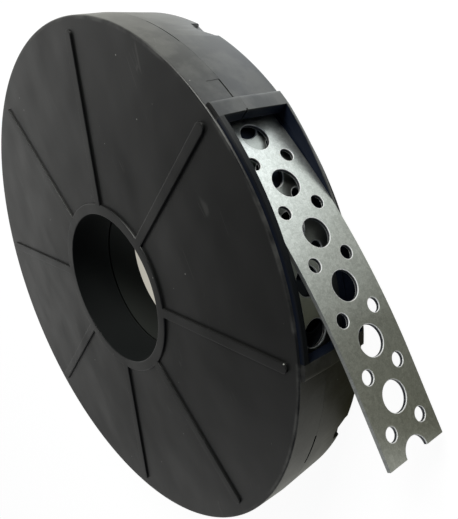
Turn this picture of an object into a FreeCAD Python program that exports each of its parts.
import FreeCAD, Part
import math
import os
import Sketcher

# A roll of perforated steel strap in its moulded dispenser case. The case is a flat round box of
# two shells that meet in a half-lap joint on the rim, butt together at the hub and are held by
# two spring catches. The back shell's rim tapers towards its face. The strap is wound inside
# the case and comes out through a framed window.
# Frame: the bore's axis is Z, the case lies on the back shell's ribs at z = 0, and the window
# looks along +X. Sizes are in millimetres and degrees.

doc = FreeCAD.newDocument("strap_dispenser")
sheet = doc.addObject("Spreadsheet::Sheet", "Sizes")

DRIVING_SIZES = [
    ("strap_width", 20.0),
    ("strap_thick", 1.0),
    ("coil_inner_radius", 49.0),
    ("coil_radius", 75.5),
    ("turn_groups", 3),
    ("turn_shift", 0.3),
    ("last_turn_sweep", 150.0),
    ("turn_bite", 0.5),
    ("leave_angle", 27.0),
    ("bend_radius", 196.5),
    ("tail_angle", 5.5),
    ("root_length", 6.0),
    ("root_bite", 0.01),
    ("hole_pitch", 13.6),
    ("large_hole_radius", 3.75),
    ("small_hole_radius", 1.75),
    ("small_hole_offset", 5.4),
    ("first_hole_at", 12.0),
    ("tail_hole_count", 6),
    ("coil_hole_count", 5),
    ("coil_hole_angle", 0.9),
    ("coil_room", 3.0),
    ("end_room", 0.5),
    ("shell_wall", 2.0),
    ("edge_bevel", 0.5),
    ("rim_draft", 1.1),
    ("relief_height", 0.9),
    ("bore_radius", 25.3),
    ("hub_wall", 2.0),
    ("ring_width", 3.4),
    ("rib_count", 8),
    ("rib_first_angle", 22.5),
    ("rib_width", 3.0),
    ("rib_margin", 3.5),
    ("rim_seam_depth", 9.3),
    ("hub_seam_depth", 14.3),
    ("seam_gap", 0.15),
    ("lap_depth", 3.0),
    ("lap_clearance", 0.3),
    ("frame_sweep", 48.0),
    ("window_sweep", 41.6),
    ("frame_height", 1.4),
    ("frame_setback", 0.5),
    ("frame_bevel", 1.0),
    ("catch_angle", 44.6),
    ("catch_sweep", 6.6),
    ("catch_height", 5.8),
    ("catch_clearance", 0.3),
    ("arm_thick", 1.3),
    ("barb_reach", 1.3),
    ("slit_sweep", 9.0),
    ("slit_height", 0.7),
]

# The case is sized by what it holds. Levels along Z and radii follow from the driving sizes.
DERIVED_SIZES = [
    ("wrap_radius", "coil_radius + strap_thick"),
    ("cavity_radius", "wrap_radius + coil_room"),
    ("case_radius", "cavity_radius + shell_wall"),
    ("back_rim_radius", "case_radius - rim_draft"),
    ("back_cavity_radius", "cavity_radius - rim_draft"),
    ("case_width", "strap_width + end_room + 2 * shell_wall"),
    ("back_face", "relief_height"),
    ("front_face", "relief_height + case_width"),
    ("front_crown", "front_face + relief_height"),
    ("back_floor", "back_face + shell_wall"),
    ("front_ceiling", "front_face - shell_wall"),
    ("rim_seam", "front_face - rim_seam_depth"),
    ("hub_seam", "front_face - hub_seam_depth"),
    ("back_rim_top", "rim_seam - seam_gap"),
    ("tongue_foot", "rim_seam - lap_depth"),
    ("lap_floor", "tongue_foot - lap_clearance"),
    ("slit_top", "rim_seam + slit_height"),
    ("tongue_radius", "case_radius - (shell_wall + lap_clearance) / 2"),
    ("lap_radius", "case_radius - (shell_wall - lap_clearance) / 2"),
    ("back_lap_radius", "lap_radius - rim_draft"),
    ("hub_radius", "bore_radius + hub_wall"),
    ("ring_radius", "bore_radius + ring_width"),
    ("ring_middle", "bore_radius + ring_width / 2"),
    ("rib_side", "rib_width / 2"),
    ("rib_reach", "case_radius - rib_margin"),
    ("rib_turn", "rib_reach - rib_side"),
    ("frame_radius", "case_radius + frame_height"),
    ("back_frame_radius", "frame_radius - rim_draft"),
    ("frame_foot", "back_face + frame_setback"),
    ("frame_head", "front_face - frame_setback"),
    ("cutter_radius", "frame_radius + shell_wall"),
    ("cutter_inner", "cavity_radius - shell_wall"),
    ("catch_top", "back_face + catch_height"),
    ("arm_outer", "cavity_radius - catch_clearance"),
    ("arm_inner", "arm_outer - arm_thick"),
    ("arm_toe_outer", "arm_outer - rim_draft"),
    ("arm_toe_inner", "arm_inner - rim_draft"),
    ("arm_foot", "back_floor + catch_clearance"),
    ("arm_root", "front_ceiling + shell_wall / 2"),
    ("barb_radius", "arm_toe_outer + barb_reach"),
    ("barb_top", "catch_top - catch_clearance"),
    ("barb_sweep", "catch_sweep - 2 * catch_clearance / cavity_radius * 180 / pi"),
    ("strap_top", "back_floor + strap_width"),
    ("strap_middle", "back_floor + strap_width / 2"),
    ("shifted_floor", "back_floor + turn_shift"),
    ("shifted_top", "strap_top + turn_shift"),
    ("group_width", "(coil_radius - coil_inner_radius) / turn_groups"),
    ("wrap_inner", "coil_radius - turn_bite"),
    ("bend_inner", "bend_radius - strap_thick"),
    ("root_gap", "root_length * root_length / 2 * (1 / coil_radius - 1 / bend_inner)"),
    ("root_inner", "bend_inner - root_gap - root_bite"),
    ("root_sweep", "root_length / bend_inner * 180 / pi"),
    ("root_angle", "leave_angle - root_sweep"),
    ("bend_sweep", "leave_angle - tail_angle"),
    ("bend_centre_x", "(wrap_radius - bend_radius) * cos(leave_angle)"),
    ("bend_centre_y", "(wrap_radius - bend_radius) * sin(leave_angle)"),
    ("bend_length", "bend_radius * bend_sweep * pi / 180"),
    ("end_length", "first_hole_at + tail_hole_count * hole_pitch - bend_length"),
    ("end_x", "bend_centre_x + bend_inner * cos(tail_angle) + end_length * sin(tail_angle)"),
    ("end_y", "bend_centre_y + bend_inner * sin(tail_angle) - end_length * cos(tail_angle)"),
    ("tail_drill_start", "bend_inner - strap_thick / 5"),
    ("coil_drill_start", "coil_radius - strap_thick"),
    ("drill_length", "strap_thick * 2"),
]

cell_names = []


def add_cell(alias, content):
    """One named cell of the sheet: a plain number, or a formula of other cells."""
    cell_names.append(alias)
    row = len(cell_names)
    sheet.set(f"A{row}", alias)
    sheet.set(f"B{row}", content)
    sheet.setAlias(f"B{row}", alias)


for alias, number in DRIVING_SIZES:
    add_cell(alias, str(number))
for alias, formula in DERIVED_SIZES:
    add_cell(alias, f"={formula}")
doc.recompute()


def size(alias):
    return float(sheet.get(alias))


def bind(target, **cells):
    """Tie properties of an object to cells of the sheet; two underscores stand for a dot."""
    for name, alias in cells.items():
        target.setExpression(name.replace("__", "."), f"Sizes.{alias}")


def origin_plane(body, role):
    return next(feature for feature in body.Origin.OriginFeatures if feature.Role == role)


def new_body(name):
    body = doc.addObject("PartDesign::Body", f"{name}_body")
    body.Label = name
    return body


def new_sketch(body, name, role, axis, angle_cell=None, side=1, level=None):
    """A sketch on one of the body's own planes, turned about the bore or lifted along it."""
    sketch = body.newObject("Sketcher::SketchObject", name)
    sketch.AttachmentSupport = (origin_plane(body, role), [""])
    sketch.MapMode = "FlatFace"
    angle = side * size(angle_cell) if angle_cell else 0
    height = size(level) if level else 0
    lift = FreeCAD.Vector(0, 0, height)
    sketch.AttachmentOffset = FreeCAD.Placement(lift, FreeCAD.Rotation(axis, angle))
    if angle_cell:
        sign = "-" if side < 0 else ""
        sketch.setExpression("AttachmentOffset.Rotation.Angle", f"{sign}Sizes.{angle_cell}")
    if level:
        bind(sketch, AttachmentOffset__Base__z=level)
    return sketch


def place_of(cell):
    """The number that a corner's cell stands for: zero, a size, or a size the other way."""
    if cell == "zero":
        return 0.0
    return -size(cell[1:]) if cell.startswith("-") else size(cell)


def pin(sketch, edge, across, up):
    """Hold the start of an edge at a cell's distance across and a cell's distance up."""
    for kind, axis, cell in (("DistanceX", -2, across), ("DistanceY", -1, up)):
        if cell == "zero":
            sketch.addConstraint(Sketcher.Constraint("PointOnObject", edge, 1, axis))
            continue
        alias = cell.lstrip("-")
        ends = (edge, 1, -1, 1) if cell.startswith("-") else (-1, 1, edge, 1)
        made = sketch.addConstraint(Sketcher.Constraint(kind, *ends, size(alias)))
        sketch.setExpression(f"Constraints[{made}]", f"Sizes.{alias}")


def draw_outline(sketch, corners):
    """A closed outline of straight edges, each corner named by its two cells."""
    points = [FreeCAD.Vector(place_of(across), place_of(up), 0) for across, up in corners]
    for start, end in zip(points, points[1:] + points[:1]):
        sketch.addGeometry(Part.LineSegment(start, end), False)
    for edge, (across, up) in enumerate(corners):
        after = (edge + 1) % len(corners)
        sketch.addConstraint(Sketcher.Constraint("Coincident", edge, 2, after, 1))
        pin(sketch, edge, across, up)


def turned(body, kind, name, corners, sweep=None, at_angle=None, side=1):
    """An outline of radii and levels turned about the bore: all round, or an arc at an angle."""
    upright = FreeCAD.Vector(0, 1, 0)
    sketch = new_sketch(body, f"{name}_outline", "XZ_Plane", upright, at_angle, side)
    draw_outline(sketch, corners)
    doc.recompute()
    feature = body.newObject(f"PartDesign::{kind}", name)
    feature.Profile = sketch
    feature.ReferenceAxis = (sketch, ["V_Axis"])
    feature.Angle = 360
    if sweep:
        feature.Angle = size(sweep)
        bind(feature, Angle=sweep)
        feature.Midplane = True
    doc.recompute()


def bevelled(body, name, amount, wanted):
    """Bevel the edges of the body that the wanted test picks out."""
    edges = body.Tip.Shape.Edges
    picked = [f"Edge{number}" for number, edge in enumerate(edges, start=1) if wanted(edge)]
    base = body.Tip
    feature = body.newObject("PartDesign::Chamfer", name)
    feature.Base = (base, picked)
    feature.Size = size(amount)
    bind(feature, Size=amount)
    doc.recompute()


def outer_corner(radius, level):
    """Picks the circle where a shell's face meets its rim."""
    def wanted(edge):
        curve = edge.Curve
        if not isinstance(curve, Part.Circle):
            return False
        on_rim = abs(curve.Radius - size(radius)) < 1e-6
        return on_rim and abs(curve.Center.z - size(level)) < 1e-6
    return wanted


def frame_ends(edge):
    """Picks the two steep outer edges of the window frame, which its draft leans a little."""
    if not isinstance(edge.Curve, Part.Line):
        return False
    middle = edge.BoundBox.Center
    steep = abs(edge.tangentAt(edge.FirstParameter).z) > 0.9
    rim = size("case_radius")
    return steep and math.hypot(middle.x, middle.y) > rim + size("frame_height") / 4


def face_ribs(body, level=None):
    """The raised spokes of one face: a rib with a round outer end, repeated about the bore."""
    up = FreeCAD.Vector(0, 0, 1)
    sketch = new_sketch(body, "rib_outline", "XY_Plane", up, "rib_first_angle", 1, level)
    corners = [
        ("ring_middle", "-rib_side"),
        ("rib_turn", "-rib_side"),
        ("rib_turn", "rib_side"),
        ("ring_middle", "rib_side"),
    ]
    points = [FreeCAD.Vector(place_of(across), place_of(upward), 0) for across, upward in corners]
    tip = FreeCAD.Vector(size("rib_reach"), 0, 0)
    sketch.addGeometry(Part.LineSegment(points[0], points[1]), False)
    sketch.addGeometry(Part.Arc(points[1], tip, points[2]), False)
    sketch.addGeometry(Part.LineSegment(points[2], points[3]), False)
    sketch.addGeometry(Part.LineSegment(points[3], points[0]), False)
    sketch.addConstraint(Sketcher.Constraint("Tangent", 0, 2, 1, 1))
    for edge in (1, 2, 3):
        sketch.addConstraint(Sketcher.Constraint("Coincident", edge, 2, (edge + 1) % 4, 1))
    for edge, (across, upward) in enumerate(corners):
        pin(sketch, edge, across, upward)
    doc.recompute()
    rib = body.newObject("PartDesign::Pad", "rib")
    rib.Profile = sketch
    bind(rib, Length="relief_height")
    doc.recompute()
    ribs = body.newObject("PartDesign::PolarPattern", "ribs")
    ribs.Originals = [rib]
    ribs.Axis = (sketch, ["N_Axis"])
    ribs.Angle = 360
    bind(ribs, Occurrences="rib_count")
    body.Tip = ribs
    doc.recompute()


def make_back_shell():
    """The deeper half: face, rim with the outer half of the lap, and its part of the hub."""
    body = new_body("back_shell")
    turned(body, "Revolution", "back_wall", [
        ("bore_radius", "zero"),
        ("ring_radius", "zero"),
        ("ring_radius", "back_face"),
        ("back_rim_radius", "back_face"),
        ("case_radius", "back_rim_top"),
        ("lap_radius", "back_rim_top"),
        ("lap_radius", "lap_floor"),
        ("cavity_radius", "lap_floor"),
        ("back_cavity_radius", "back_floor"),
        ("hub_radius", "back_floor"),
        ("hub_radius", "hub_seam"),
        ("bore_radius", "hub_seam"),
    ])
    bevelled(body, "back_edge", "edge_bevel", outer_corner("back_rim_radius", "back_face"))
    face_ribs(body)
    turned(body, "Revolution", "back_frame", [
        ("back_lap_radius", "frame_foot"),
        ("back_frame_radius", "frame_foot"),
        ("frame_radius", "back_rim_top"),
        ("lap_radius", "back_rim_top"),
        ("lap_radius", "lap_floor"),
    ], sweep="frame_sweep")
    bevelled(body, "back_frame_ends", "frame_bevel", frame_ends)
    turned(body, "Groove", "back_window", [
        ("cutter_inner", "back_floor"),
        ("cutter_radius", "back_floor"),
        ("cutter_radius", "rim_seam"),
        ("cutter_inner", "rim_seam"),
    ], sweep="window_sweep")
    for side, word in ((1, "upper"), (-1, "lower")):
        turned(body, "Groove", f"{word}_catch_notch", [
            ("back_cavity_radius", "zero"),
            ("cutter_radius", "zero"),
            ("cutter_radius", "catch_top"),
            ("back_cavity_radius", "catch_top"),
        ], sweep="catch_sweep", at_angle="catch_angle", side=side)
    return body


def make_front_shell():
    """The shallower half: face, rim with the lap's tongue, hub, and the two spring catches."""
    body = new_body("front_shell")
    turned(body, "Revolution", "front_wall", [
        ("bore_radius", "front_crown"),
        ("ring_radius", "front_crown"),
        ("ring_radius", "front_face"),
        ("case_radius", "front_face"),
        ("case_radius", "rim_seam"),
        ("tongue_radius", "rim_seam"),
        ("tongue_radius", "tongue_foot"),
        ("cavity_radius", "tongue_foot"),
        ("cavity_radius", "front_ceiling"),
        ("hub_radius", "front_ceiling"),
        ("hub_radius", "hub_seam"),
        ("bore_radius", "hub_seam"),
    ])
    bevelled(body, "front_edge", "edge_bevel", outer_corner("case_radius", "front_face"))
    face_ribs(body, "front_face")
    turned(body, "Revolution", "front_frame", [
        ("tongue_radius", "rim_seam"),
        ("frame_radius", "rim_seam"),
        ("frame_radius", "frame_head"),
        ("tongue_radius", "frame_head"),
    ], sweep="frame_sweep")
    bevelled(body, "front_frame_ends", "frame_bevel", frame_ends)
    for side, word in ((1, "upper"), (-1, "lower")):
        turned(body, "Revolution", f"{word}_catch", [
            ("arm_toe_inner", "arm_foot"),
            ("barb_radius", "arm_foot"),
            ("barb_radius", "barb_top"),
            ("arm_toe_outer", "barb_top"),
            ("arm_outer", "arm_root"),
            ("arm_inner", "arm_root"),
        ], sweep="barb_sweep", at_angle="catch_angle", side=side)
        turned(body, "Groove", f"{word}_seam_slit", [
            ("tongue_radius", "rim_seam"),
            ("cutter_radius", "rim_seam"),
            ("cutter_radius", "slit_top"),
            ("tongue_radius", "slit_top"),
        ], sweep="slit_sweep", at_angle="catch_angle", side=side)
    turned(body, "Groove", "front_window", [
        ("cutter_inner", "tongue_foot"),
        ("cutter_radius", "tongue_foot"),
        ("cutter_radius", "front_ceiling"),
        ("cutter_inner", "front_ceiling"),
    ], sweep="window_sweep")
    return body


def make_coil():
    """The wound turns as one turned ring: groups of turns that have slid a little endwise."""
    body = new_body("wound_turns")
    below = []
    above = []
    for group in range(int(size("turn_groups"))):
        outer, inner = f"group_outer_{group}", f"group_inner_{group}"
        add_cell(outer, f"=coil_radius - {group} * group_width")
        add_cell(inner, f"=coil_radius - {group + 1} * group_width")
        shifted = group % 2 == 1
        floor = "shifted_floor" if shifted else "back_floor"
        top = "shifted_top" if shifted else "strap_top"
        below = [(inner, floor), (outer, floor)] + below
        above += [(outer, top), (inner, top)]
    doc.recompute()
    turned(body, "Revolution", "turn_groups_turned", below + above)
    return body


def arc_strip(name, outer, inner, start, sweep, centre=None):
    """A stretch of strap on its edge, bent to one radius about the bore or another centre."""
    disc = doc.addObject("Part::Cylinder", f"{name}_disc")
    core = doc.addObject("Part::Cylinder", f"{name}_core")
    disc.Placement.Rotation = FreeCAD.Rotation(FreeCAD.Vector(0, 0, 1), size(start))
    bind(disc, Radius=outer, Height="strap_width", Angle=sweep, Placement__Rotation__Angle=start)
    bind(core, Radius=inner, Height="strap_width")
    for cylinder in (disc, core):
        bind(cylinder, Placement__Base__z="back_floor")
        if centre:
            bind(cylinder, Placement__Base__x=centre[0], Placement__Base__y=centre[1])
    strip = doc.addObject("Part::Cut", name)
    strip.Base = disc
    strip.Tool = core
    return strip


def heading_vector(heading):
    return FreeCAD.Vector(math.cos(math.radians(heading)), math.sin(math.radians(heading)), 0)


def drill(name, radius, origin, across, heading, side_shift):
    """A drill for one layer of strap, pointing along a heading, at a distance from an origin."""
    direction = heading_vector(heading)
    start = origin + direction * across
    start.z = size("strap_middle") + side_shift
    tool = doc.addObject("Part::Cylinder", name)
    bind(tool, Radius=radius, Height="drill_length")
    turn = FreeCAD.Rotation(FreeCAD.Vector(0, 0, 1), direction)
    tool.Placement = FreeCAD.Placement(start, turn)
    return tool


def drill_pair(name, place, *where):
    """Two small drills, one each side of the strap's centre line."""
    shift = size("small_hole_offset")
    front = place(f"{name}_front", "small_hole_radius", *where, shift)
    back = place(f"{name}_back", "small_hole_radius", *where, -shift)
    return [front, back]


def tail_drill(name, radius, along, side_shift):
    """A drill at a distance along the tail, measured from where the tail leaves the coil."""
    centre = FreeCAD.Vector(size("bend_centre_x"), size("bend_centre_y"), 0)
    start = size("tail_drill_start")
    straight = along - size("bend_length")
    if straight <= 0:
        heading = size("leave_angle") - math.degrees(along / size("bend_radius"))
        return drill(name, radius, centre, start, heading, side_shift)
    heading = size("tail_angle")
    origin = centre + heading_vector(heading - 90) * straight
    return drill(name, radius, origin, start, heading, side_shift)


def tail_drills():
    """Large holes on the tail's centre line, each after a pair of small ones half a pitch back."""
    tools = []
    pitch = size("hole_pitch")
    for index in range(int(size("tail_hole_count")) + 1):
        along = size("first_hole_at") + index * pitch
        tools.append(tail_drill(f"tail_large_{index}", "large_hole_radius", along, 0))
        tools += drill_pair(f"tail_small_{index}", tail_drill, along - pitch / 2)
    return tools


def coil_drill(name, radius, heading, side_shift):
    """A drill that goes one layer deep into the wound turns."""
    start = size("coil_drill_start")
    return drill(name, radius, FreeCAD.Vector(0, 0, 0), start, heading, side_shift)


def coil_drills():
    """The holes of the turn that shows in the window, behind the tail."""
    tools = []
    step = math.degrees(size("hole_pitch") / size("coil_radius"))
    count = int(size("coil_hole_count"))
    for index in range(count):
        heading = size("coil_hole_angle") + (index - count // 2) * step
        tools.append(coil_drill(f"coil_large_{index}", "large_hole_radius", heading, 0))
        if index > 0:
            tools += drill_pair(f"coil_small_{index}", coil_drill, heading - step / 2)
    return tools


def drilled(name, solid, tools):
    """A solid with all its holes cut at once."""
    drills = doc.addObject("Part::MultiFuse", f"{name}_drills")
    drills.Shapes = tools
    result = doc.addObject("Part::Cut", name)
    result.Base = solid
    result.Tool = drills
    doc.recompute()
    return result


def make_strap():
    """The strap: the wound turns, the last turn, and the tail that comes out of the window."""
    coil = drilled("drilled_coil", make_coil(), coil_drills())
    last = arc_strip("last_turn", "wrap_radius", "wrap_inner", "leave_angle", "last_turn_sweep")
    centre = ("bend_centre_x", "bend_centre_y")
    bend = arc_strip("tail_bend", "bend_radius", "bend_inner", "tail_angle", "bend_sweep", centre)
    root = arc_strip("tail_root", "bend_radius", "root_inner", "root_angle", "root_sweep", centre)
    end = doc.addObject("Part::Box", "tail_end")
    end.Placement.Rotation = FreeCAD.Rotation(FreeCAD.Vector(0, 0, 1), size("tail_angle"))
    bind(end, Length="strap_thick", Width="end_length", Height="strap_width")
    bind(end, Placement__Base__x="end_x", Placement__Base__y="end_y")
    bind(end, Placement__Base__z="back_floor", Placement__Rotation__Angle="tail_angle")
    solid = doc.addObject("Part::MultiFuse", "strap_solid")
    solid.Shapes = [coil, last, root, bend, end]
    doc.recompute()
    strap = drilled("perforated_strap", solid, tail_drills())
    strap.Label = "strap"
    return strap


pieces = [make_back_shell(), make_front_shell(), make_strap()]
doc.recompute()

for item in doc.Objects:
    if "Invalid" in item.State or "Error" in item.State:
        raise RuntimeError(f"{item.Name} failed: {item.State}")

os.makedirs("parts", exist_ok=True)
for piece in pieces:
    shape = piece.Shape
    if shape.isNull() or not shape.isValid() or len(shape.Solids) != 1:
        raise RuntimeError(f"{piece.Label} is not one sound solid")
    shape.exportStep(f"parts/{piece.Label}.step")
    print(piece.Label, round(shape.Volume), "mm3")
